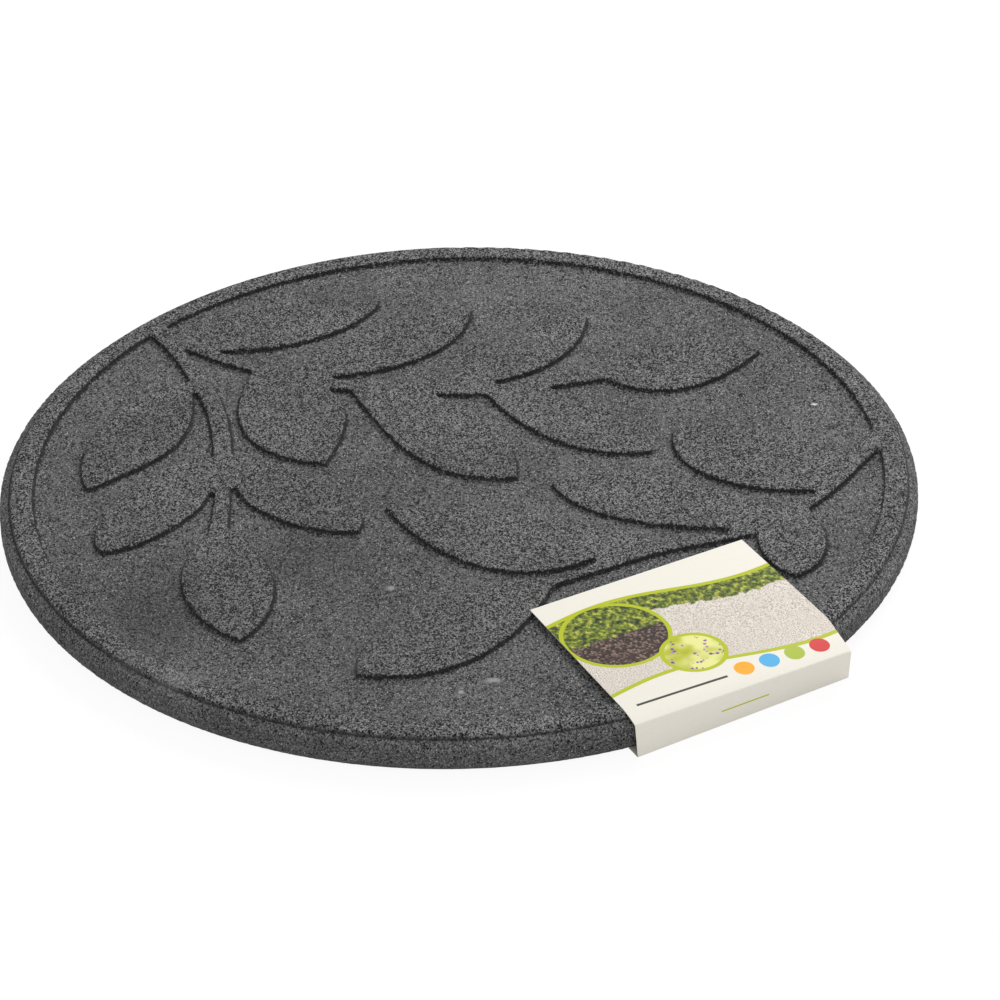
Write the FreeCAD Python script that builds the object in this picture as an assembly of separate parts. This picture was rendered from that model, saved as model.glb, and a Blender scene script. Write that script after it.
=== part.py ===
import FreeCAD
import Part
import math
import os

# Garden stepping stone: a moulded rubber disc with a leaf relief, in the card sleeve that it is sold in.
# Millimetres, +Z up, origin at the middle of the flat underside.

# Stone
stone_diameter = 450.0       # across the widest line of the rounded edge
stone_height = 19.0          # underside to the top of the ring and the leaves
widest_height = 8.8          # widest line of the edge above the underside
foot_inset = 5.4             # rim of the flat underside, inwards from the widest line
shoulder_inset = 4.0         # top of the rounded edge, inwards from the widest line
relief_height = 2.6          # ring, branches and leaves above the field
ledge_width = 1.0            # between the rounded edge and the raised ring
ring_width = 11.9
ring_edge_radius = 2.2       # rounding along the ring's outer top edge
relief_root = 1.0            # how far the relief's blanks reach down into the disc before they are fused

# Sleeve
card_thickness = 0.35
sleeve_width = 116.0
sleeve_bearing = -63.4       # direction in which the sleeve's fold faces, degrees from +X
sleeve_offset = 32.0         # middle of the sleeve from the stone's middle, along the fold
top_panel_length = 104.0     # far edge to the fold
shoulder_slope = 10.0        # fall of the card from the ring's edge to the fold, degrees
shoulder_bend_radius = 12.0  # soft bend where the card leaves the ring
fold_radius = 0.6            # inside of the creases
sleeve_clearance = 0.1       # front panel to the widest line of the stone
flap_clearance = 0.3         # lower flap to the stone's foot
left_lean = 2.0              # bottom of the front panel's left end, outwards from the fold
right_lean = -5.9            # bottom of its right end, outwards from the fold

# Leaf drawing, in plan, set out for this inside radius of the ring and drawn to fit the ring that is made.
# Each edge is a cubic through its points. A leaf runs from its near edge's root to the tip and back.
drawing_radius = 208.1

leaves = [
    # on the left branch, downwards
    [(-132, 82), (-135.5, 42), (-153, 17.5), (-181.5, -4.5), (-184.5, 30), (-168, 70), (-131, 94)],
    [(-120, -9), (-130, -29.5), (-150, -50), (-172.5, -59.5), (-174.5, -33), (-155, 3), (-119, 22)],
    [(-110.5, -2), (-100, -23.5), (-78, -41), (-49, -48), (-52.5, -20), (-79, 8), (-112, 24)],
    [(-120, -45), (-133.5, -79), (-127, -112), (-104.5, -137.5), (-90, -110), (-92, -75), (-112.5, -41)],
    # above the upper branch, left to right, and its end leaf
    [(-121, 122), (-88, 125), (-58, 139), (-37.5, 164.5), (-75, 171), (-112, 159), (-143, 141)],
    [(-62, 94.5), (-28, 103.5), (-2, 124), (9.5, 156), (-32, 146), (-62, 124), (-81, 102)],
    [(19, 85.5), (42, 96), (60, 116), (68.5, 147), (32, 135), (8, 112), (-4, 84)],
    [(74.5, 86.5), (105, 72.7), (133, 84), (155, 108.5), (128, 118), (98, 113), (73, 95)],
    # below the upper branch, left to right
    [(-102, 103), (-109.3, 64), (-99, 32), (-65, 13), (-57, 38), (-56, 66), (-72, 90)],
    [(-53, 81.5), (-35.5, 41), (-11, 7.5), (29, -4), (26, 28), (12, 54), (-16, 78)],
    [(14.5, 75.5), (34, 43.3), (62, 20.7), (96.5, 16.5), (88, 42), (70, 62), (42, 81)],
    # above the right branch, right to left, and its end leaf
    [(172, -22), (138, -16.3), (112.5, 4), (107, 35), (132, 37), (164, 28), (191, 5)],
    [(129, -54), (94.5, -48.5), (64.5, -35.3), (45, -10), (78, -1), (114, -11), (153, -39)],
    [(63, -77), (21.5, -85.4), (-13, -63), (-36, -27), (2, -31), (48, -41), (98, -66)],
    [(45, -96), (24, -138), (-7, -165), (-49.5, -168.5), (-38, -133), (0, -103), (46, -92)],
    # below the right branch
    [(142, -56), (143.3, -71), (148, -85), (159, -96.5), (172, -83.5), (176, -62), (168, -37)],
]

# A branch has two edges, each listed from the ring to its end.
branches = [
    [[(-159, 145), (-142.5, 116), (-133, 91), (-125, 64), (-121, 30), (-119.5, -12), (-122, -48)],
     [(-148, 146), (-135, 119), (-121.5, 88), (-113.5, 55), (-111, 24), (-111, -8), (-111.5, -43)]],
    [[(-153, 139), (-132, 121), (-103, 101.5), (-58, 82), (-10, 75), (15.5, 73.8), (48, 79), (76, 85)],
     [(-152, 152), (-118.7, 122), (-60, 93.5), (-20, 86.5), (21, 85.5), (74, 96)]],
    [[(212, 21), (196, -4), (168.7, -39.4), (142, -58.7), (100, -72), (60, -91), (42.5, -99.4)],
     [(210, 40), (188, 3), (169, -23.5), (127.5, -55), (62, -78.5), (45, -89.5)]],
]

foot_diameter = stone_diameter - 2 * foot_inset
shoulder_diameter = stone_diameter - 2 * shoulder_inset
ring_diameter = shoulder_diameter - 2 * ledge_width
stone_radius = stone_diameter / 2
foot_radius = foot_diameter / 2
shoulder_radius = shoulder_diameter / 2
ring_radius = ring_diameter / 2
ring_inside = ring_radius - ring_width
ring_round = min(ring_edge_radius, 0.9 * relief_height)
ring_flat = ring_radius - ring_round
field_height = stone_height - relief_height


def edge_arc_radius(inset, rise):
    """Radius of an arc that is upright at the widest line and reaches the inset over the rise."""
    return (inset ** 2 + rise ** 2) / (2 * inset)


def stone_radius_at(height):
    """Radius of the rounded edge at a height below the widest line."""
    arc_radius = edge_arc_radius(stone_radius - foot_radius, widest_height)
    drop = widest_height - height
    return stone_radius - arc_radius + math.sqrt(arc_radius ** 2 - drop ** 2)


def arc(start, middle, end):
    return Part.Arc(FreeCAD.Vector(*start), FreeCAD.Vector(*middle), FreeCAD.Vector(*end)).toShape()


def line(start, end):
    return Part.makeLine(FreeCAD.Vector(*start), FreeCAD.Vector(*end))


def edge_arc(inset, rise):
    """Half of the rounded edge, from the widest line to the foot (rise below 0) or to the shoulder."""
    arc_radius = edge_arc_radius(inset, rise)
    half_angle = math.asin(rise / arc_radius) / 2
    middle_radius = stone_radius - arc_radius * (1 - math.cos(half_angle))
    middle_height = widest_height + arc_radius * math.sin(half_angle)
    return ((stone_radius, 0, widest_height), (middle_radius, 0, middle_height),
            (stone_radius - inset, 0, widest_height + rise))


def make_disc():
    """The turned disc: flat underside, rounded edge, ledge, raised ring and sunk field."""
    widest, low_middle, foot = edge_arc(stone_radius - foot_radius, -widest_height)
    shoulder_rise = field_height - widest_height
    _, high_middle, shoulder = edge_arc(stone_radius - shoulder_radius, shoulder_rise)
    round_start = stone_height - ring_round
    round_middle = (ring_flat + ring_round * math.sqrt(0.5), 0, round_start + ring_round * math.sqrt(0.5))
    section = [
        line((0, 0, 0), foot),
        arc(foot, low_middle, widest),
        arc(widest, high_middle, shoulder),
        line(shoulder, (ring_radius, 0, field_height)),
        line((ring_radius, 0, field_height), (ring_radius, 0, round_start)),
        arc((ring_radius, 0, round_start), round_middle, (ring_flat, 0, stone_height)),
        line((ring_flat, 0, stone_height), (ring_inside, 0, stone_height)),
        line((ring_inside, 0, stone_height), (ring_inside, 0, field_height)),
        line((ring_inside, 0, field_height), (0, 0, field_height)),
        line((0, 0, field_height), (0, 0, 0)),
    ]
    face = Part.Face(Part.Wire(section))
    return face.revolve(FreeCAD.Vector(0, 0, 0), FreeCAD.Vector(0, 0, 1), 360)


def drawn(point):
    """A point of the leaf drawing, brought to the ring that is made, at the level of the relief's root."""
    scale = ring_inside / drawing_radius
    return FreeCAD.Vector(point[0] * scale, point[1] * scale, field_height - relief_root)


def leaf_edge(points):
    """Cubic curve through four points, at its ends and at a third and two thirds of its run."""
    start, third, two_thirds, end = [drawn(point) for point in points]
    first_pull = (start * -5 + third * 18 - two_thirds * 9 + end * 2) / 6
    second_pull = (start * 2 - third * 9 + two_thirds * 18 - end * 5) / 6
    curve = Part.BezierCurve()
    curve.setPoles([start, first_pull, second_pull, end])
    return curve.toShape()


def branch_edge(points):
    curve = Part.BSplineCurve()
    curve.interpolate([drawn(point) for point in points])
    return curve.toShape()


def raise_relief(edges):
    """Upright blank of one leaf or branch, up to the top of the relief."""
    face = Part.Face(Part.Wire(edges))
    return face.extrude(FreeCAD.Vector(0, 0, relief_height + relief_root))


def make_leaf(points):
    near, tip, far = points[:4], points[3], points[4:]
    root = Part.makeLine(drawn(far[-1]), drawn(near[0]))
    return raise_relief([leaf_edge(near), leaf_edge([tip] + far), root])


def make_branch(edges):
    first, second = edges
    at_ring = Part.makeLine(drawn(second[0]), drawn(first[0]))
    at_end = Part.makeLine(drawn(first[-1]), drawn(second[-1]))
    return raise_relief([branch_edge(first), at_end, branch_edge(second), at_ring])


def make_stone():
    relief = [make_leaf(points) for points in leaves] + [make_branch(edges) for edges in branches]
    return make_disc().multiFuse(relief).removeSplitter()


def offset_path(points, distance):
    """The path moved to its right by a distance, corner by corner."""
    moved = []
    for index, point in enumerate(points):
        before = points[max(index - 1, 0)]
        after = points[min(index + 1, len(points) - 1)]
        arriving = (point - before) if index else (after - point)
        leaving = (after - point) if index < len(points) - 1 else arriving
        arriving.normalize()
        leaving.normalize()
        side_in = FreeCAD.Vector(arriving.z, 0, -arriving.x)
        side_out = FreeCAD.Vector(leaving.z, 0, -leaving.x)
        moved.append(point + (side_in + side_out) * (distance / (1 + side_in.dot(side_out))))
    return moved


def rounded_path(points, radii):
    """Straight runs joined by tangent arcs, one radius for each inner corner."""
    edges = []
    run_start = points[0]
    for before, corner, after, radius in zip(points, points[1:], points[2:], radii):
        back = (before - corner).normalize()
        ahead = (after - corner).normalize()
        half_angle = back.getAngle(ahead) / 2
        cut = radius / math.tan(half_angle)
        inward = (back + ahead).normalize()
        middle = corner + inward * (radius / math.sin(half_angle) - radius)
        edges.append(Part.makeLine(run_start, corner + back * cut))
        edges.append(Part.Arc(corner + back * cut, middle, corner + ahead * cut).toShape())
        run_start = corner + ahead * cut
    edges.append(Part.makeLine(run_start, points[-1]))
    return edges


def slope_start():
    """Where the slope leaves the level top panel, so that the bend begins at the end of the ring's flat top."""
    return ring_flat + (shoulder_bend_radius + card_thickness) * math.tan(math.radians(shoulder_slope) / 2)


def fold_height(fold_reach):
    """Height of the fold's outer corner, at the end of the slope from the ring's edge."""
    slope = math.radians(shoulder_slope)
    return stone_height + card_thickness - (fold_reach - slope_start()) * math.tan(slope)


def sleeve_section(across, lean, fold_reach, flap_reach):
    """Closed section of the folded card at one end of the sleeve, with the fold facing along +X."""
    top = stone_height + card_thickness
    corners = [
        FreeCAD.Vector(fold_reach - top_panel_length, across, top),
        FreeCAD.Vector(slope_start(), across, top),
        FreeCAD.Vector(fold_reach, across, fold_height(fold_reach)),
        FreeCAD.Vector(fold_reach + lean, across, 0),
        FreeCAD.Vector(flap_reach, across, 0),
    ]
    bends = [shoulder_bend_radius, fold_radius, fold_radius]
    inner = offset_path(corners, card_thickness)
    outside = rounded_path(corners, [bend + card_thickness for bend in bends])
    inside = rounded_path(inner, bends)
    far_end = Part.makeLine(inner[0], corners[0])
    flap_end = Part.makeLine(corners[-1], inner[-1])
    return Part.Wire(outside + [flap_end] + inside[::-1] + [far_end])


def make_sleeve():
    left = sleeve_offset - sleeve_width / 2
    right = sleeve_offset + sleeve_width / 2
    # level with the stone's widest line the front panel passes it in a straight line, turned by its twist
    lean_share = 1 - widest_height / stone_height
    twist = (right_lean - left_lean) / sleeve_width
    lean_abreast = left_lean - twist * left
    clear_radius = stone_radius + sleeve_clearance + card_thickness
    fold_reach = clear_radius * math.hypot(1, lean_share * twist) - lean_share * lean_abreast
    flap_trim = stone_radius_at(card_thickness) + flap_clearance
    flap_reach = math.sqrt(flap_trim ** 2 - right ** 2) - flap_clearance
    ends = [sleeve_section(left, left_lean, fold_reach, flap_reach),
            sleeve_section(right, right_lean, fold_reach, flap_reach)]
    sleeve = Part.makeLoft(ends, True, True)
    foot_trim = Part.makeCylinder(flap_trim, 2 * card_thickness, FreeCAD.Vector(0, 0, -card_thickness / 2))
    sleeve = sleeve.cut(foot_trim)
    sleeve.rotate(FreeCAD.Vector(0, 0, 0), FreeCAD.Vector(0, 0, 1), sleeve_bearing)
    return sleeve


os.makedirs("parts", exist_ok=True)
pieces = {"stepping_stone": make_stone(), "card_sleeve": make_sleeve()}
for name, shape in pieces.items():
    solid = shape.Solids[0]
    print(name, len(shape.Solids), "solid,", len(shape.Faces), "faces, volume", round(solid.Volume),
          "valid", shape.isValid())
    solid.exportStep(f"parts/{name}.step")
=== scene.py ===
import math
import bpy
from mathutils import Matrix, Vector


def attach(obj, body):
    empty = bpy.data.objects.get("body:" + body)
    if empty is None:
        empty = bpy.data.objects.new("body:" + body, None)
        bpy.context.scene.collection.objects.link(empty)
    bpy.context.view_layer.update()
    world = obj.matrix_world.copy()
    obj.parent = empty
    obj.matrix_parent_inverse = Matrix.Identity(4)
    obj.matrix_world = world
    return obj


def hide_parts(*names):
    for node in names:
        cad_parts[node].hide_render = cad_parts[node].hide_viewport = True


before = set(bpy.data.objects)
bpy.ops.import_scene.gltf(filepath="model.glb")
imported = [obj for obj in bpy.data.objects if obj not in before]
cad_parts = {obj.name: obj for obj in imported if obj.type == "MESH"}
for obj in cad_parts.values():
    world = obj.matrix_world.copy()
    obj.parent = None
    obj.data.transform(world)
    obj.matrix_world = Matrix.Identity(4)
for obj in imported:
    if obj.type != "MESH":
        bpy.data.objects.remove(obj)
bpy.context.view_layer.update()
millimetre = 0.001
onFloor = 0.01 * millimetre      # points lower than this lie on the floor
sameSpot = 0.001 * millimetre    # points nearer than this are one


def pickOnly(piece):
    bpy.ops.object.select_all(action="DESELECT")
    piece.select_set(True)
    bpy.context.view_layer.objects.active = piece


def applyModifier(piece, kind, **settings):
    pickOnly(piece)
    modifier = piece.modifiers.new(kind.lower(), kind)
    for name, value in settings.items():
        setattr(modifier, name, value)
    bpy.ops.object.modifier_apply(modifier=modifier.name)


def addObject(name, data):
    piece = bpy.data.objects.new(name, data)
    bpy.context.collection.objects.link(piece)
    return piece


def faceOutwards():
    # turns every face outwards and ends edit mode
    bpy.ops.mesh.select_all(action="SELECT")
    bpy.ops.mesh.normals_make_consistent(inside=False)
    bpy.ops.object.mode_set(mode="OBJECT")


def countTriangles(piece):
    return sum(len(face.vertices) - 2 for face in piece.data.polygons)


# Stone: the moulded disc, on a fine mesh that is then thinned where it is flat
stone = {
    "spacing": 0.85 * millimetre,       # between the points of the new surface
    "softening": 7,                     # passes that round the relief's edges
    "softened": 0.5,                    # how far each pass goes
    "firmer": 0.3,                      # share of it that the outer edges get
    "triangles": 185000,
    "footCut": 1.0 * millimetre,        # the flat underside below this is remade in a few faces
    "fieldHeight": 16.4 * millimetre,
    "reliefHeight": 2.6 * millimetre,
    "ringInside": 204.0 * millimetre,   # walls further out than this are the ring's
    "ringRound": 216.0 * millimetre,    # from here outwards the edges stay firmer
    "ringWallShade": 0.85,                  # the ring's inner wall gets less of the painted wall shade than the leaves' walls
    "plusXWallShadow": 1.4,                   # how much wider the painted shade shows on walls that face +X, as a painted cast shadow down to their foot
    "wallFoot": 0.3 * millimetre,       # walls are counted from this far below the field
    "level": 0.01,                      # sideways share of a normal on level ground
    "crumbSize": 2.4 * millimetre,
    "crumbDepth": 0.5 * millimetre,
    "crumbFrom": 0.1 * millimetre,      # height from which the crumb roughens the sides
    "crumbGain": 3,                     # how soon it is at full depth as a side gets steeper
    "grooveFloor": 0.02 * millimetre,   # the grooves end this far above the field
    # narrow grooves that end beside leaf roots, in plan, in mm
    "rootGrooves": (
        ((64.5, -77), (57.8, -80.3), (52.2, -83), (44, -85.8),
         (43, -92.5), (52, -89), (59, -85), (64, -80.5)),
        ((20, 85.9), (25, 87.4), (30.9, 89.8), (37, 92.9), (37, 86.5), (31, 84.3), (25, 82.5), (20, 83)),
        ((130, -53.9), (120.3, -53.2), (112, -52), (112, -60), (121, -60), (128, -58.5)),
        ((173.5, -22.2), (163.3, -22.4), (156, -21.6), (156, -28), (165, -29), (172, -27)),
        ((-121.4, -9.8), (-119, -9.8), (-119.2, -16), (-119.6, -22), (-124.8, -20), (-122.6, -15)),
        ((-111.4, -6.5), (-108.8, -6.5), (-107.4, -10.5), (-105.8, -13.5), (-111.3, -14)),
        ((-119.5, 122.6), (-112.8, 121.9), (-106, 121.5), (-106, 116.5), (-112, 117), (-118, 119.5)),
        ((-62, 94.6), (-53.1, 95.8), (-46, 97), (-46, 90), (-53, 90.5), (-61, 92)),
    ),
}

# Rim: its shoulder is fuller at the front
rim = {
    "start": 220.6 * millimetre,
    "widest": 8.8 * millimetre,         # height of the widest line
    "reach": 224.9 * millimetre,
    "fullBearing": -110,                # degrees, the side where the shoulder is fullest
    "fuller": 1.9 * millimetre,
    "bulge": 6.75,                      # brings the bulge's peak to 1, two thirds of the way up
    "allRound": 0.55,                   # share of the bulge half way round
    "atFront": 0.45,                    # added to it on the full side and taken off opposite
}


def steepness(place, normal):
    # walls that face +X get a wider painted shade, a painted cast shadow down to their foot
    onRelief = place.z > stone["fieldHeight"] - stone["wallFoot"] and place.xy.length < stone["ringRound"]
    if not onRelief or normal.xy.length < stone["level"]:
        return 0
    facing = max(0, normal.x / normal.xy.length)
    share = stone["ringWallShade"] if place.xy.length > stone["ringInside"] else 1
    return share * (1 - abs(normal.z)) * (1 + stone["plusXWallShadow"] * facing)


def cutGroove(form, outline):
    bpy.ops.object.select_all(action="DESELECT")
    bpy.ops.mesh.primitive_circle_add(vertices=len(outline), radius=10 * millimetre, fill_type="NGON")
    cutter = bpy.context.object
    floor = stone["fieldHeight"] + stone["grooveFloor"]
    for vertex, corner in zip(cutter.data.vertices, outline):
        vertex.co = (corner[0] * millimetre, corner[1] * millimetre, floor)
    bpy.ops.object.mode_set(mode="EDIT")
    bpy.ops.mesh.select_all(action="SELECT")
    bpy.ops.mesh.extrude_region_move(TRANSFORM_OT_translate={"value": (0, 0, 2 * stone["reliefHeight"])})
    faceOutwards()
    applyModifier(form, "BOOLEAN", operation="DIFFERENCE", object=cutter, solver="EXACT")
    bpy.data.objects.remove(cutter)


def makeForm(node):
    # the moulded form with its root grooves cut, which the finer mesh is drawn back onto
    form = addObject("stoneForm", node.data.copy())
    pickOnly(form)
    bpy.ops.object.mode_set(mode="EDIT")
    bpy.ops.mesh.select_all(action="SELECT")
    bpy.ops.mesh.remove_doubles(threshold=sameSpot)
    bpy.ops.object.mode_set(mode="OBJECT")
    for outline in stone["rootGrooves"]:
        cutGroove(form, outline)
    return form


def closeUnderside(body, footRadius):
    # the underside is cut off, then drawn down to the floor and closed
    bpy.ops.object.mode_set(mode="EDIT")
    bpy.ops.mesh.select_all(action="SELECT")
    bpy.ops.mesh.bisect(plane_co=(0, 0, stone["footCut"]), plane_no=(0, 0, 1), clear_inner=True)
    bpy.ops.mesh.select_all(action="DESELECT")
    bpy.ops.mesh.select_mode(type="EDGE")
    bpy.ops.mesh.select_non_manifold(extend=False)
    bpy.ops.mesh.extrude_region_move(TRANSFORM_OT_translate={"value": (0, 0, -stone["footCut"])})
    bpy.ops.object.mode_set(mode="OBJECT")
    for vertex in body.data.vertices:
        if vertex.select:
            flat = vertex.co.xy.normalized() * footRadius
            vertex.co = (flat.x, flat.y, 0)
    bpy.ops.object.mode_set(mode="EDIT")
    bpy.ops.mesh.fill()
    faceOutwards()


def softenEdges(body):
    soft = body.vertex_groups.new(name="soft")
    inner = [v.index for v in body.data.vertices if v.co.xy.length < stone["ringRound"]]
    outer = [v.index for v in body.data.vertices
             if v.co.xy.length >= stone["ringRound"] and v.co.z > 2 * stone["footCut"]]
    soft.add(inner, 1.0, "REPLACE")
    soft.add(outer, stone["firmer"], "REPLACE")
    applyModifier(body, "SMOOTH", factor=stone["softened"], iterations=stone["softening"],
                  vertex_group="soft")


def fillShoulder(body):
    # rounds the rim's shoulder outwards, most of all at the front, but not beyond the rim's widest line
    low, high = rim["widest"], stone["fieldHeight"]
    bearing = math.radians(rim["fullBearing"])
    fullSide = Vector((math.cos(bearing), math.sin(bearing)))
    for vertex in body.data.vertices:
        reach = vertex.co.xy.length
        if not rim["start"] <= reach < rim["reach"] or not low < vertex.co.z < high:
            continue
        lean = rim["allRound"] + rim["atFront"] * vertex.co.xy.normalized().dot(fullSide)
        rise = (vertex.co.z - low) / (high - low)
        fuller = rim["fuller"] * rim["bulge"] * rise ** 2 * (1 - rise) * lean
        vertex.co.xy *= min(rim["reach"], reach + fuller) / reach


def roughenSides(body):
    # how steep the moulded surface is, noted before the crumb roughens its edges and rim; the painted wall
    # shade is drawn from it
    steep = body.data.attributes.new("steep", "FLOAT", "POINT")
    steep.data.foreach_set("value", [steepness(v.co, v.normal) for v in body.data.vertices])
    rough = body.vertex_groups.new(name="rough")
    for vertex in body.data.vertices:
        if vertex.co.z > stone["crumbFrom"]:
            depth = min(1.0, stone["crumbGain"] * (1 - abs(vertex.normal.z)))
            rough.add([vertex.index], depth, "REPLACE")
    crumb = bpy.data.textures.new("crumb", "VORONOI")
    crumb.noise_scale = stone["crumbSize"]
    applyModifier(body, "DISPLACE", texture=crumb, texture_coords="LOCAL", mid_level=0.0,
                  strength=-stone["crumbDepth"], vertex_group="rough")


def makeStone():
    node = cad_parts["stepping_stone"]
    form = makeForm(node)
    body = addObject("stoneBody", form.data.copy())
    applyModifier(body, "REMESH", mode="VOXEL", voxel_size=stone["spacing"])
    closeUnderside(body, max(math.hypot(v.co.x, v.co.y) for v in node.data.vertices if v.co.z < onFloor))

    # back onto the moulded form, edges softened, then thinned: flat stretches lose the most
    applyModifier(body, "SHRINKWRAP", target=form, wrap_method="NEAREST_SURFACEPOINT")
    softenEdges(body)
    fillShoulder(body)
    ratio = min(1.0, stone["triangles"] / countTriangles(body))
    applyModifier(body, "DECIMATE", decimate_type="COLLAPSE", ratio=ratio)
    bpy.data.objects.remove(form)
    roughenSides(body)
    bpy.ops.object.shade_smooth()
    print("stone:", countTriangles(body), "triangles")
    return body


noiseSpan = (0.3, 0.7)    # nearly all of a noise's values lie in here


class Board:
    # adds nodes and joins them, so that a material reads as a short list of steps
    def __init__(self, tree):
        self.tree = tree

    def add(self, kind, inputs=None, **settings):
        node = self.tree.nodes.new("ShaderNode" + kind)
        for name, value in settings.items():
            setattr(node, name, value)
        for name, value in (inputs or {}).items():
            self.feed(node.inputs[name], value)
        return node

    def feed(self, socket, value):
        if isinstance(value, bpy.types.NodeSocket):
            self.tree.links.new(value, socket)
        else:
            socket.default_value = value

    def math(self, operation, first, second=0.0, clamp=False):
        node = self.add("Math", operation=operation, use_clamp=clamp)
        self.feed(node.inputs[0], first)
        self.feed(node.inputs[1], second)
        return node.outputs[0]

    def plus(self, first, second):
        return self.math("ADD", first, second)

    def less(self, first, second, clamp=False):
        return self.math("SUBTRACT", first, second, clamp)

    def times(self, first, second, clamp=False):
        return self.math("MULTIPLY", first, second, clamp)

    def ramp(self, value, low, high, start=0.0, end=1.0, smooth=True):
        node = self.add("MapRange", {"Value": value, "From Min": low, "From Max": high,
                                     "To Min": start, "To Max": end})
        node.interpolation_type = "SMOOTHSTEP" if smooth else "LINEAR"
        return node.outputs["Result"]

    def vary(self, noise, ends):
        # a noise stretched evenly between two ends
        return self.ramp(noise, *noiseSpan, *ends, smooth=False)

    def noise(self, place, scale, detail, roughness=0.5):
        return self.add("TexNoise", {"Vector": place, "Scale": scale, "Detail": detail,
                                     "Roughness": roughness}).outputs["Fac"]

    def cells(self, place, scale, channel):
        # how far each point is from its cell's middle, and a value that each cell draws
        node = self.add("TexVoronoi", {"Vector": place, "Scale": scale})
        drawn = self.add("SeparateColor", {"Color": node.outputs["Color"]}).outputs[channel]
        return node.outputs["Distance"], drawn

    def push(self, place, direction, amount):
        return self.add("VectorMath", {0: direction, 1: (amount,) * 3, 2: place},
                        operation="MULTIPLY_ADD").outputs[0]

    def length(self, vector):
        return self.add("VectorMath", {0: vector}, operation="LENGTH").outputs["Value"]

    def mix(self, amount, first, second, blend="MIX"):
        node = self.add("Mix", data_type="RGBA", blend_type=blend)
        self.feed(node.inputs["Factor"], amount)
        self.feed(node.inputs[6], first)
        self.feed(node.inputs[7], second)
        return node.outputs[2]


# Crumb finish: pressed grains of different greys, open pits between them painted near black as shade, a few
# pale flecks as painted glints, scuffs, and painted shade on the walls, in the ring's crevice and low on the
# rim
crumbFinish = {
    "lay": (1.25, 0.8, 1.0),          # the pressed grains lie a little longer one way
    "grainsPerMetre": 1450.0,
    "cloudsPerMetre": 2200.0,         # finer than the grains
    "mottlePerMetre": 18.0,           # broad patches
    "pitsPerMetre": 830.0,
    "flecksPerMetre": 950.0,
    "lumpsPerMetre": 700.0,           # along the walls
    "shakesPerMetre": 900.0,
    "grainShake": 0.7 * millimetre,   # how far the grains are pushed out of shape
    "pitShake": 1.1 * millimetre,
    # where the raised parts, the ring and the rim begin and are full
    "raised": (17.4 * millimetre, 18.2 * millimetre),
    "ring": (206 * millimetre, 209 * millimetre),
    "rim": (219 * millimetre, 221 * millimetre),
    "lowRimShade": (12.5 * millimetre, 14.5 * millimetre),   # heights between which the painted shade low on the rim fades out
    "spread": 0.85,                   # of the grains' greys
    "reliefSpread": 0.28,
    "ringSpread": 0.04,
    "darkest": 0.04,
    "cloudTone": (0.35, 1.65),
    "mottleTone": (0.88, 1.12),
    "reliefGain": 0.08,               # the raised parts are worn a little paler
    "ringGain": 0.1,
    # painted shade low on the rim
    "rimShadeGain": -0.1,
    "grey": (0.114, 0.114, 0.1145, 1),
    # painted shade inside the pits
    "pitShadeGrey": (0.004, 0.004, 0.004, 1),
    # painted glints on lit grain facets
    "glintGrey": (0.42, 0.42, 0.415, 1),
    # painted shade on the walls and in the ring's crevice, partly the walls' open pores
    "wallShadeGrey": (0.015, 0.015, 0.015, 1),
    "fieldPits": 0.255,               # share of the larger grains that are missing
    "reliefPits": 0.165,              # more of them on the raised parts
    "ringPits": 0.05,                 # and again on the ring
    "rimPressed": 0.2,                # fewer on the rim
    "mottlePits": (0.06, -0.06),      # more in dark patches
    "pitEdge": (0.4, 0.55),
    "fleckPick": (0.88, 0.98),
    "fleckEdge": (0.2, 0.5),
    "reliefFlecks": 0.12,             # more of them on the raised parts
    "wallFlecks": 0.4,                # how much of a painted glint's paleness is left on a wall
    "wallLumps": (-0.42, 0.42),
    "wallFull": 0.62,                 # steepness at which a wall is all dark
    "wallCloud": (0.35, 0.65, 0.68, 1.15),
    "wallStart": (0.04, 0.14),        # gentler slopes than this are no wall
    "creviceShade": (219.0, 219.9, 220.1, 220.8),   # radii in mm of the painted crevice shade: the ring's outer edge falls into it
    "creviceHeight": (14.8 * millimetre, 15.8 * millimetre),
    "creviceRagged": (-0.3 * millimetre, 0.3 * millimetre),
    "creviceDark": 0.8,
    # scuffs, dust and dark patches: plan place and size in mm, strength, grey
    "scuffs": (
        ((178.6, 58.9), (1.7, 0.9), 1.0, 0.75),
        ((-33.4, -94.2), (2.0, 2.4), 0.9, 0.34),
        ((13.5, -172.7), (3.8, 2.0), 0.9, 0.36),
        ((-1.5, -181.6), (1.6, 1.8), 0.95, 0.36),
        ((-59.7, -28.8), (1.4, 1.4), 0.6, 0.3),
        ((-102.0, -33.7), (1.3, 1.3), 0.6, 0.3),
        ((-152.0, -151.0), (13.0, 10.0), 0.14, 0.26),
        ((-131.0, -168.0), (14.0, 8.0), 0.3, 0.26),
        ((22.0, 175.0), (34.0, 13.0), 0.1, 0.26),
        ((28.0, 123.0), (12.0, 16.0), 0.1, 0.26),
        ((-50.3, -161.5), (3.0, 4.2), 0.8, 0.105),
        ((-40.0, -134.0), (30.0, 24.0), 0.07, 0.26),
        ((-143.0, -116.0), (26.0, 40.0), 0.38, 0.03),
        ((-66.0, -70.0), (34.0, 30.0), 0.28, 0.03),
        ((-56.0, 170.0), (32.0, 18.0), 0.3, 0.03),
        ((96.0, 161.0), (28.0, 20.0), 0.24, 0.03),
    ),
    "scuffEdge": (0.5, 1.2),
    "scuffRagged": (-0.4, 0.4),
    "scuffWarmth": 0.98,              # blue against red and green
    "roughness": 0.85,
    "specular": 0.3,
    "grainDome": 0.7,                 # a grain is highest in its middle and level from here outwards
    "bump": 0.8,
    "bumpDepth": 0.4 * millimetre,
}


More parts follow.
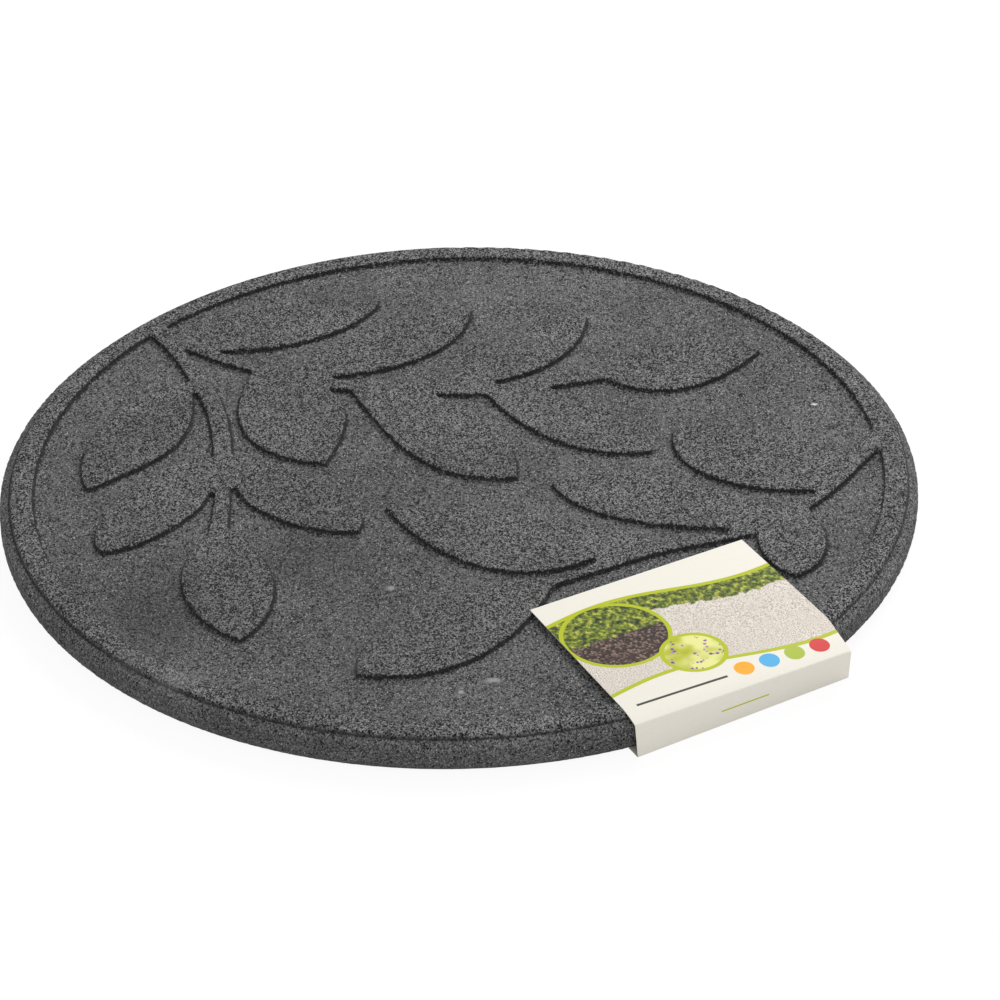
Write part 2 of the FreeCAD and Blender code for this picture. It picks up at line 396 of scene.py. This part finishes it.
def scuffMask(board, flat, cloud, middle, size, strength):
    # a soft oval broken up by the grain
    offset = (-middle[0] * millimetre, -middle[1] * millimetre, 0)
    centred = board.add("Mapping", {"Vector": flat, "Location": offset}).outputs[0]
    stretch = (1000 / size[0], 1000 / size[1], 0)
    oval = board.add("Mapping", {"Vector": centred, "Scale": stretch}).outputs[0]
    broken = board.plus(board.length(oval), board.vary(cloud, crumbFinish["scuffRagged"]))
    return board.ramp(broken, *crumbFinish["scuffEdge"], strength, 0.0)


def makeCrumb():
    material = bpy.data.materials.new("rubberCrumb")
    material.use_nodes = True
    board = Board(material.node_tree)
    shader = material.node_tree.nodes["Principled BSDF"]
    place = board.add("TexCoord").outputs["Object"]
    axes = board.add("SeparateXYZ", {"Vector": place}).outputs
    flat = board.add("CombineXYZ", {"X": axes["X"], "Y": axes["Y"]}).outputs[0]
    reach = board.length(flat)
    raised = board.ramp(axes["Z"], *crumbFinish["raised"])
    onRing = board.ramp(reach, *crumbFinish["ring"])
    onRim = board.ramp(reach, *crumbFinish["rim"])

    # grains: each with its own grey, over a finer and a broader cloud
    laid = board.add("Mapping", {"Vector": place, "Scale": crumbFinish["lay"]}).outputs[0]
    shake = board.add("TexNoise", {"Vector": laid, "Scale": crumbFinish["shakesPerMetre"],
                                   "Detail": 1.0}).outputs["Color"]
    shaken = board.push(laid, shake, crumbFinish["grainShake"])
    torn = board.push(place, shake, crumbFinish["pitShake"])
    grainAway, grainTone = board.cells(shaken, crumbFinish["grainsPerMetre"], "Red")
    cloud = board.noise(laid, crumbFinish["cloudsPerMetre"], 1.0)
    mottle = board.noise(place, crumbFinish["mottlePerMetre"], 3.0)
    spread = board.plus(board.times(raised, crumbFinish["reliefSpread"]), crumbFinish["spread"])
    spread = board.plus(spread, board.times(onRing, crumbFinish["ringSpread"]))
    tone = board.times(board.ramp(grainTone, 0, 1, -1.0, 1.0, smooth=False), spread)
    tone = board.math("MAXIMUM", board.plus(tone, 1.0), crumbFinish["darkest"])
    tone = board.times(tone, board.vary(cloud, crumbFinish["cloudTone"]))
    tone = board.times(tone, board.ramp(mottle, *noiseSpan, *crumbFinish["mottleTone"]))

    # wear: paler on the raised parts, a little paler again on the ring; painted shade: darker low on the rim
    onlyRing = board.less(onRing, onRim, clamp=True)
    lowRimShade = board.times(onRim, board.ramp(axes["Z"], *crumbFinish["lowRimShade"], 1.0, 0.0))
    wearAndShade = board.times(raised, crumbFinish["reliefGain"])
    wearAndShade = board.plus(wearAndShade, board.times(onlyRing, crumbFinish["ringGain"]))
    wearAndShade = board.plus(wearAndShade, board.times(lowRimShade, crumbFinish["rimShadeGain"]))
    tone = board.times(tone, board.plus(wearAndShade, 1.0))
    grey = board.mix(1.0, crumbFinish["grey"], tone, "MULTIPLY")

    # pits: crooked openings where grains are missing, painted near black as the shade inside them, more of
    # them on the raised parts and in patches
    pitAway, pitPick = board.cells(torn, crumbFinish["pitsPerMetre"], "Green")
    share = board.plus(board.times(raised, crumbFinish["reliefPits"]),
                       board.times(onRing, crumbFinish["ringPits"]))
    share = board.plus(share, board.vary(mottle, crumbFinish["mottlePits"]))
    share = board.plus(share, crumbFinish["fieldPits"])
    share = board.less(share, board.times(onRim, crumbFinish["rimPressed"]))
    pit = board.times(board.math("LESS_THAN", pitPick, share),
                      board.ramp(pitAway, *crumbFinish["pitEdge"], 1.0, 0.0))
    grey = board.mix(pit, grey, crumbFinish["pitShadeGrey"])

    # painted shade on the relief's upright walls, widened into a painted cast shadow at the foot of walls
    # that face +X; partly it is also their pores, open and dark because the walls are less pressed
    steep = board.add("Attribute", attribute_name="steep").outputs["Fac"]
    lumps = board.vary(board.noise(place, crumbFinish["lumpsPerMetre"], 1.0), crumbFinish["wallLumps"])
    wall = board.ramp(board.plus(steep, lumps), 0.0, crumbFinish["wallFull"])
    wall = board.times(wall, board.ramp(cloud, *crumbFinish["wallCloud"]), clamp=True)
    wall = board.times(wall, board.ramp(steep, *crumbFinish["wallStart"]))
    grey = board.mix(wall, grey, crumbFinish["wallShadeGrey"])

    # painted glints: pale flecks where grain facets catch the light, duller on the walls
    fleckAway, fleckPick = board.cells(shaken, crumbFinish["flecksPerMetre"], "Blue")
    fleckPick = board.plus(fleckPick, board.times(raised, crumbFinish["reliefFlecks"]))
    glint = board.times(board.ramp(fleckPick, *crumbFinish["fleckPick"]),
                        board.ramp(fleckAway, *crumbFinish["fleckEdge"], 1.0, 0.0))
    glint = board.times(glint, board.ramp(wall, 0.0, 1.0, 1.0, crumbFinish["wallFlecks"]))
    grey = board.mix(glint, grey, crumbFinish["glintGrey"])

    # painted shade: a dark crevice where the ring's rounded edge meets the rim
    start, deepest, foot, end = [radius * millimetre for radius in crumbFinish["creviceShade"]]
    ragged = board.plus(reach, board.vary(cloud, crumbFinish["creviceRagged"]))
    creviceShade = board.times(board.ramp(ragged, start, deepest), board.ramp(ragged, foot, end, 1.0, 0.0))
    creviceShade = board.times(creviceShade, board.ramp(axes["Z"], *crumbFinish["creviceHeight"]))
    grey = board.mix(board.times(creviceShade, crumbFinish["creviceDark"]), grey, crumbFinish["wallShadeGrey"])

    for middle, size, strength, scuffGrey in crumbFinish["scuffs"]:
        scuff = scuffMask(board, flat, cloud, middle, size, strength)
        grey = board.mix(scuff, grey, (scuffGrey, scuffGrey, crumbFinish["scuffWarmth"] * scuffGrey, 1))
    board.feed(shader.inputs["Base Color"], grey)
    shader.inputs["Roughness"].default_value = crumbFinish["roughness"]
    shader.inputs["Specular IOR Level"].default_value = crumbFinish["specular"]
    height = board.plus(board.ramp(grainAway, 0.0, crumbFinish["grainDome"], 1.0, 0.0), cloud)
    bump = board.add("Bump", {"Height": board.less(height, pit), "Strength": crumbFinish["bump"],
                              "Distance": crumbFinish["bumpDepth"]})
    board.feed(shader.inputs["Normal"], bump.outputs["Normal"])
    print("crumb finish:", len(material.node_tree.nodes), "nodes")
    return material


body = makeStone()
body.data.materials.clear()
body.data.materials.append(makeCrumb())
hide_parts("stepping_stone")
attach(body, "root")

# Sleeve: one folded sheet of card, laid out with the fold facing along +X and turned into place at the end
sleeve = {
    "bearing": -63.4,                 # degrees, the way the fold faces
    "card": 0.35 * millimetre,
    # outer face of the card at its left and right ends: reach, place along the fold, height, in mm
    "farEdge": ((121.9, -25.1, 19.35), (117.6, 92.4, 18.2)),
    "ringLine": ((213.5, -25.9, 19.35), (195.0, 93.4, 19.35)),
    "fold": ((226.4, -26.4, 17.9), (222.8, 90.6, 17.1)),
    "bottom": ((227.4, -25.6, 0.0), (220.0, 91.0, 0.0)),
    "ringRadius": 217.6 * millimetre,
    "flapRadius": 220.0 * millimetre,
    "flapReach": 219.0 * millimetre,  # points on the floor within this are the flap's end
    "sameRow": 0.05 * millimetre,
    "sameEnd": 20.0 * millimetre,
    "across": 60.0 * millimetre,      # edges longer than this run from end to end
    "columns": 40,
    "shoulderBend": 4.0 * millimetre,
    "shoulderSteps": 6,
    "crease": 0.8 * millimetre,
    "creaseSteps": 3,
    "sharpAngle": 40,                 # degrees
}


def sheetEnds(name):
    return [Vector(point) * millimetre for point in sleeve[name]]


def editRow(piece, ends):
    # edit mode, with only the row of edges selected that runs between two points
    bpy.ops.object.mode_set(mode="EDIT")
    bpy.ops.mesh.select_mode(type="EDGE")
    bpy.ops.mesh.select_all(action="DESELECT")
    bpy.ops.object.mode_set(mode="OBJECT")
    run = (ends[1] - ends[0]).normalized()
    for edge in piece.data.edges:
        near = []
        for index in edge.vertices:
            offset = piece.data.vertices[index].co - ends[0]
            near.append((offset - run * offset.dot(run)).length < sleeve["sameRow"])
        edge.select = all(near)
    bpy.ops.object.mode_set(mode="EDIT")


def roundOff(radius, place):
    return math.sqrt(radius ** 2 - place.y ** 2)


def drawSheet(rows):
    # the top panel, then the sheet is drawn out row by row: slope, front, lower flap
    bpy.ops.object.select_all(action="DESELECT")
    bpy.ops.mesh.primitive_plane_add(size=2 * millimetre)
    card = bpy.context.object
    card.name = "sleeveCard"
    for vertex in card.data.vertices:
        ends = rows[1] if vertex.co.x > 0 else rows[0]
        vertex.co = ends[1] if vertex.co.y > 0 else ends[0]
    for ends, after in zip(rows[1:], rows[2:]):
        editRow(card, ends)
        bpy.ops.mesh.extrude_region_move(TRANSFORM_OT_translate={"value": after[0] - ends[0]})
        bpy.ops.object.mode_set(mode="OBJECT")
        for vertex in card.data.vertices:
            if vertex.select and (vertex.co - after[0]).length > sleeve["sameEnd"]:
                vertex.co = after[1]
    return card


def divideSheet(card):
    # columns across the sheet, and the flap's end cut round
    bpy.ops.object.mode_set(mode="EDIT")
    bpy.ops.mesh.select_all(action="DESELECT")
    bpy.ops.object.mode_set(mode="OBJECT")
    for edge in card.data.edges:
        first, second = [card.data.vertices[index].co for index in edge.vertices]
        edge.select = abs(first.y - second.y) > sleeve["across"]
    bpy.ops.object.mode_set(mode="EDIT")
    bpy.ops.mesh.subdivide(number_cuts=sleeve["columns"])
    bpy.ops.object.mode_set(mode="OBJECT")
    for vertex in card.data.vertices:
        if vertex.co.z < onFloor and vertex.co.x < sleeve["flapReach"]:
            vertex.co.x = roundOff(sleeve["flapRadius"], vertex.co)


def makeSleeve():
    rows = [sheetEnds(name) for name in ("farEdge", "ringLine", "fold", "bottom")]
    rows.append([Vector((roundOff(sleeve["flapRadius"], end), end.y, 0)) for end in rows[-1]])
    card = drawSheet(rows)
    divideSheet(card)
    for ends in (rows[3], rows[2]):
        editRow(card, ends)
        bpy.ops.mesh.bevel(offset=sleeve["crease"], segments=sleeve["creaseSteps"], affect="EDGES")

    # the bend where the card leaves the ring follows the ring's edge
    editRow(card, rows[1])
    bpy.ops.object.mode_set(mode="OBJECT")
    ringRow = {index for edge in card.data.edges if edge.select for index in edge.vertices}
    for index in ringRow:
        place = card.data.vertices[index].co
        place.x = roundOff(sleeve["ringRadius"], place)
    bpy.ops.object.mode_set(mode="EDIT")
    bpy.ops.mesh.bevel(offset=sleeve["shoulderBend"], segments=sleeve["shoulderSteps"], affect="EDGES")
    faceOutwards()

    # thickness, with the print outside and bare card inside and at the cut edges
    card.data.materials.append(None)
    card.data.materials.append(None)
    applyModifier(card, "SOLIDIFY", thickness=sleeve["card"], offset=-1.0, use_even_offset=True,
                  material_offset=1, material_offset_rim=1)
    card.rotation_euler.z = math.radians(sleeve["bearing"])
    bpy.ops.object.transform_apply(location=True, rotation=True, scale=True)
    bpy.ops.object.shade_smooth_by_angle(angle=math.radians(sleeve["sharpAngle"]))
    print("sleeve:", countTriangles(card), "triangles")
    return card


# Card finish: cream board with a satin print, laid out in millimetres from the sheet's far left corner
cardFinish = {
    "cream": (0.86, 0.825, 0.735, 1),
    "shade": (0.82, 0.785, 0.695, 1),
    "fibresPerMetre": 900.0,
    "fibreShade": 0.5,                # how far the fibres go towards the shade
    "fibreBump": 0.12,
    "fibreDepth": 0.05 * millimetre,
    "roughness": 0.42,
    "specular": 0.12,
    "farLeft": (120.0, -26.0),        # reach and place along the fold of the print's corner
    "softEdge": 0.12,
    "lime": (0.47, 0.53, 0.012, 1),
    "dark": (0.055, 0.05, 0.047, 1),
    "bands": (19.0, 83.0),            # two lime bands, with the ground printed between them
    "bandWidth": 1.25,
    "bandSeam": 0.1,
    "sway": 5.0,                      # how far the bands swing, and their turn in a millimetre
    "swayTurn": 0.046,
    "ragged": 9.0,                    # the border between leaves and the ground under them
    "raggedScale": 0.25,
    "leafBorder": (37.0, 38.4),
    "horizon": (44.0, 46.0),
    "rounds": (((26.0, 40.0), 24.5), ((51.0, 70.0), 14.0)),   # two round grounds: middle and radius
    "roundBand": 2.2,
    "topFrom": (16.5, 16.8),          # height that parts the top from the front
    "rule": ((94.5, 0.75), (31.0, 24.0)),   # line and half its width, middle and half its length
    "dash": ((8.5, 0.4), (59.0, 13.0)),
    "spots": (((0.95, 0.42, 0.02, 1), 65.0), ((0.08, 0.44, 0.78, 1), 78.5), ((0.42, 0.52, 0.05, 1), 92.0),
              ((0.68, 0.045, 0.045, 1), 105.5)),
    "spotLine": 92.5,
    "spotRadius": 4.9,
}

# Garden tones: four printed grounds, scales per millimetre
gardenPrint = {
    "leafScale": 0.32,
    "leafStops": ((0.33, (0.012, 0.02, 0.008, 1)), (0.45, (0.07, 0.1, 0.016, 1)),
                  (0.54, (0.2, 0.26, 0.02, 1)), (0.62, (0.46, 0.46, 0.05, 1)),
                  (0.72, (0.78, 0.74, 0.42, 1))),
    "gravelScale": 1.5,
    "gravelMix": (0.36, 0.56),
    "gravelTones": ((0.44, 0.36, 0.3, 1), (0.8, 0.745, 0.67, 1)),
    "patchScale": 0.11,
    "patchMix": (0.4, 0.62, 0.0, 0.35),
    "patchTone": (0.66, 0.6, 0.53, 1),
    "chipScale": 0.75,
    "chipMix": (0.1, 0.95),
    "chipTones": ((0.045, 0.026, 0.022, 1), (0.27, 0.18, 0.145, 1)),
    "chipEdge": (0.35, 0.75),
    "chipGap": (0.03, 0.018, 0.015, 1),
    "glowScale": 0.09,
    "glowMix": (0.35, 0.65),
    "glowTones": ((0.46, 0.49, 0.01, 1), (0.82, 0.82, 0.3, 1)),
    "petalScale": 0.42,
    "petalEdge": (0.3, 0.46),
    "petalTones": ((0.1, 0.03, 0.2, 1), (0.5, 0.26, 0.6, 1)),
    "sprayScale": 0.14,
    "sprayMix": (0.5, 0.55),
}


def gardenTones(board, place):
    # leaves
    leafNoise = board.noise(place, gardenPrint["leafScale"], 4.0, 0.7)
    leafRamp = board.add("ValToRGB", {"Fac": leafNoise})
    stops = leafRamp.color_ramp.elements
    stops[0].position, stops[0].color = gardenPrint["leafStops"][0]
    stops[1].position, stops[1].color = gardenPrint["leafStops"][-1]
    for position, colour in gardenPrint["leafStops"][1:-1]:
        stops.new(position).color = colour

    # gravel
    speckle = board.noise(place, gardenPrint["gravelScale"], 2.0)
    patches = board.noise(place, gardenPrint["patchScale"], 2.0)
    gravel = board.mix(board.ramp(speckle, *gardenPrint["gravelMix"]), *gardenPrint["gravelTones"])
    gravel = board.mix(board.ramp(patches, *gardenPrint["patchMix"]), gravel, gardenPrint["patchTone"])

    # bark
    chipAway, chipTone = board.cells(place, gardenPrint["chipScale"], "Red")
    bark = board.mix(board.ramp(chipTone, *gardenPrint["chipMix"]), *gardenPrint["chipTones"])
    bark = board.mix(board.ramp(chipAway, *gardenPrint["chipEdge"]), bark, gardenPrint["chipGap"])

    # blossom on lime
    glow = board.noise(place, gardenPrint["glowScale"], 1.0)
    limeGround = board.mix(board.ramp(glow, *gardenPrint["glowMix"]), *gardenPrint["glowTones"])
    petalAway, petalTone = board.cells(place, gardenPrint["petalScale"], "Green")
    petal = board.mix(petalTone, *gardenPrint["petalTones"])
    sprays = board.noise(place, gardenPrint["sprayScale"], 1.0)
    bloom = board.times(board.ramp(petalAway, *gardenPrint["petalEdge"], 1, 0),
                        board.ramp(sprays, *gardenPrint["sprayMix"]))
    return leafRamp.outputs["Color"], gravel, bark, board.mix(bloom, limeGround, petal)


def edgeMask(board, away, limit):
    return board.ramp(away, limit - cardFinish["softEdge"], limit + cardFinish["softEdge"], 1.0, 0.0)


def discMask(board, across, along, middle, radius):
    offset = board.add("CombineXYZ", {"X": board.less(across, middle[0]), "Y": board.less(along, middle[1])})
    return edgeMask(board, board.length(offset.outputs[0]), radius)


def bandMask(board, value, middle, halfWidth):
    return edgeMask(board, board.math("ABSOLUTE", board.less(value, middle)), halfWidth)


def makeFibreGroup():
    # paper fibres: a cream that varies a little, and a height for bump
    group = bpy.data.node_groups.new("cardFibre", "ShaderNodeTree")
    group.interface.new_socket("Vector", in_out="INPUT", socket_type="NodeSocketVector")
    group.interface.new_socket("Cream", in_out="INPUT", socket_type="NodeSocketColor")
    group.interface.new_socket("Shade", in_out="INPUT", socket_type="NodeSocketColor")
    group.interface.new_socket("Colour", in_out="OUTPUT", socket_type="NodeSocketColor")
    group.interface.new_socket("Height", in_out="OUTPUT", socket_type="NodeSocketFloat")
    board = Board(group)
    entry = group.nodes.new("NodeGroupInput").outputs
    way = group.nodes.new("NodeGroupOutput").inputs
    fibre = board.noise(entry["Vector"], cardFinish["fibresPerMetre"], 3.0)
    amount = board.ramp(fibre, *noiseSpan, 0.0, cardFinish["fibreShade"])
    board.feed(way["Colour"], board.mix(amount, entry["Cream"], entry["Shade"]))
    board.feed(way["Height"], fibre)
    return group


def printSheet(board, coords, colour):
    turned = board.add("Mapping", {"Vector": coords, "Rotation": (0, 0, math.radians(-sleeve["bearing"])),
                                   "Scale": (1000, 1000, 1000)}).outputs["Vector"]
    sheet = board.add("SeparateXYZ", {"Vector": turned}).outputs
    along = board.less(sheet["X"], cardFinish["farLeft"][0])
    across = board.less(sheet["Y"], cardFinish["farLeft"][1])
    leafGreen, gravel, bark, blossom = gardenTones(board, turned)
    sway = board.math("SINE", board.times(across, cardFinish["swayTurn"]))
    swayed = board.plus(along, board.times(sway, cardFinish["sway"]))
    ragged = board.times(board.noise(turned, cardFinish["raggedScale"], 3.0), cardFinish["ragged"])

    # gravel under a strip of leaves, between two swaying lime bands
    first, last = cardFinish["bands"]
    seam = cardFinish["bandSeam"]
    ground = board.mix(board.ramp(board.plus(swayed, ragged), *cardFinish["leafBorder"]), leafGreen, gravel)
    inside = board.times(board.ramp(swayed, first - seam, first + seam),
                         board.ramp(swayed, last - seam, last + seam, 1, 0))
    colour = board.mix(inside, colour, ground)
    for middle in (first, last):
        band = bandMask(board, swayed, middle, cardFinish["bandWidth"])
        colour = board.mix(band, colour, cardFinish["lime"])

    # two round grounds on the left, each in a lime ring
    horizon = board.ramp(board.plus(along, ragged), *cardFinish["horizon"])
    grounds = (board.mix(horizon, leafGreen, bark), blossom)
    for (middle, radius), ground in zip(cardFinish["rounds"], grounds):
        ring = discMask(board, across, along, middle, radius + cardFinish["roundBand"])
        colour = board.mix(ring, colour, cardFinish["lime"])
        colour = board.mix(discMask(board, across, along, middle, radius), colour, ground)

    # near the fold: a dark rule, four coloured spots, and a short lime rule on the front
    onTop = board.ramp(sheet["Z"], *cardFinish["topFrom"])
    line, run = cardFinish["rule"]
    rule = board.times(bandMask(board, along, *line), bandMask(board, across, *run))
    colour = board.mix(board.times(rule, onTop), colour, cardFinish["dark"])
    for spotColour, place in cardFinish["spots"]:
        spot = discMask(board, across, along, (place, cardFinish["spotLine"]), cardFinish["spotRadius"])
        colour = board.mix(board.times(spot, onTop), colour, spotColour)
    line, run = cardFinish["dash"]
    dash = board.times(bandMask(board, sheet["Z"], *line), bandMask(board, across, *run))
    return board.mix(board.times(dash, board.less(1.0, onTop)), colour, cardFinish["lime"])


def makeCard(printed, fibreGroup):
    material = bpy.data.materials.new("printedCard" if printed else "plainCard")
    material.use_nodes = True
    board = Board(material.node_tree)
    shader = material.node_tree.nodes["Principled BSDF"]
    coords = board.add("TexCoord").outputs["Object"]
    fibre = board.add("Group", node_tree=fibreGroup)
    board.feed(fibre.inputs["Vector"], coords)
    board.feed(fibre.inputs["Cream"], cardFinish["cream"])
    board.feed(fibre.inputs["Shade"], cardFinish["shade"])
    colour = fibre.outputs["Colour"]
    if printed:
        colour = printSheet(board, coords, colour)
    board.feed(shader.inputs["Base Color"], colour)
    shader.inputs["Roughness"].default_value = cardFinish["roughness"]
    shader.inputs["Specular IOR Level"].default_value = cardFinish["specular"]
    bump = board.add("Bump", {"Height": fibre.outputs["Height"], "Strength": cardFinish["fibreBump"],
                              "Distance": cardFinish["fibreDepth"]})
    board.feed(shader.inputs["Normal"], bump.outputs["Normal"])
    print("card finish:", material.name, len(material.node_tree.nodes), "nodes")
    return material


card = makeSleeve()
fibreGroup = makeFibreGroup()
card.data.materials[0] = makeCard(True, fibreGroup)
card.data.materials[1] = makeCard(False, fibreGroup)
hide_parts("card_sleeve")
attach(card, "root")

# Camera, at the photo's angle
view = {
    "elevation": 33.245,      # degrees above the floor
    "distance": 2703.8 * millimetre,
    "roll": 1.607,            # degrees
    "sensor": 36,
    "lens": 198.0,
    "shift": (0.041, 0.0063),
    "clipEnd": 20,
}


def addCamera():
    tilt = math.radians(view["elevation"])
    camera = addObject("camera", bpy.data.cameras.new("camera"))
    camera.location = (0, -view["distance"] * math.cos(tilt), view["distance"] * math.sin(tilt))
    lift = Matrix.Rotation(math.radians(90) - tilt, 4, "X")
    roll = Matrix.Rotation(math.radians(-view["roll"]), 4, "Z")
    camera.rotation_euler = (lift @ roll).to_euler()
    camera.data.sensor_width = view["sensor"]
    camera.data.lens = view["lens"]
    camera.data.shift_x, camera.data.shift_y = view["shift"]
    camera.data.clip_end = view["clipEnd"]
    bpy.context.scene.camera = camera
    print("camera:", view["elevation"], "degrees above the floor")


addCamera()

# Light and floor
studio = {
    "world": 0.54,
    # name, power, size and place
    "lamps": (
        ("key", 18.5, 0.9, (0.65, 0.98, 1.0)),
        ("fill", 16.5, 2.0, (0.5, -2.2, 0.9)),
    ),
    "floorSize": 12.0,
    "floorGrey": 0.62,        # what the floor sends back to the object
    "floorRoughness": 0.9,
    "shadowShare": 0.16,      # how much of the floor's picture is lit ground, the rest is plain white
    "whiteLift": 0.6,         # makes up for the grey of that share
}


def addLamp(name, power, size, place):
    lamp = addObject(name, bpy.data.lights.new(name, "AREA"))
    lamp.data.energy = power
    lamp.data.size = size
    lamp.location = place
    lamp.rotation_euler = (Vector((0, 0, 0)) - lamp.location).to_track_quat("-Z", "Y").to_euler()


def makeFloor():
    material = bpy.data.materials.new("floor")
    material.use_nodes = True
    board = Board(material.node_tree)
    ground = material.node_tree.nodes["Principled BSDF"]
    ground.inputs["Base Color"].default_value = (studio["floorGrey"],) * 3 + (1,)
    ground.inputs["Roughness"].default_value = studio["floorRoughness"]
    ground.inputs["Specular IOR Level"].default_value = 0.0
    strength = 1.0 + studio["whiteLift"] * studio["shadowShare"]
    white = board.add("Emission", {"Color": (1, 1, 1, 1), "Strength": strength})
    rays = board.add("LightPath").outputs
    seen = board.math("MAXIMUM", rays["Is Camera Ray"], rays["Is Glossy Ray"])
    seen = board.math("MAXIMUM", seen, rays["Is Transmission Ray"])
    share = board.times(seen, 1 - studio["shadowShare"])
    mixed = board.add("MixShader", {0: share, 1: ground.outputs[0], 2: white.outputs[0]})
    board.feed(material.node_tree.nodes["Material Output"].inputs["Surface"], mixed.outputs[0])
    return material


def addStudio():
    world = bpy.data.worlds.new("studio")
    bpy.context.scene.world = world
    world.use_nodes = True
    backdrop = world.node_tree.nodes["Background"]
    backdrop.inputs["Color"].default_value = (1, 1, 1, 1)
    backdrop.inputs["Strength"].default_value = studio["world"]
    for lamp in studio["lamps"]:
        addLamp(*lamp)
    bpy.ops.object.select_all(action="DESELECT")
    bpy.ops.mesh.primitive_plane_add(size=studio["floorSize"])
    floor = bpy.context.object
    floor.name = "floor"
    floor.data.materials.append(makeFloor())
    print("studio: floor and", len(studio["lamps"]), "lamps")


addStudio()
bpy.context.scene.view_settings.view_transform = "Standard"
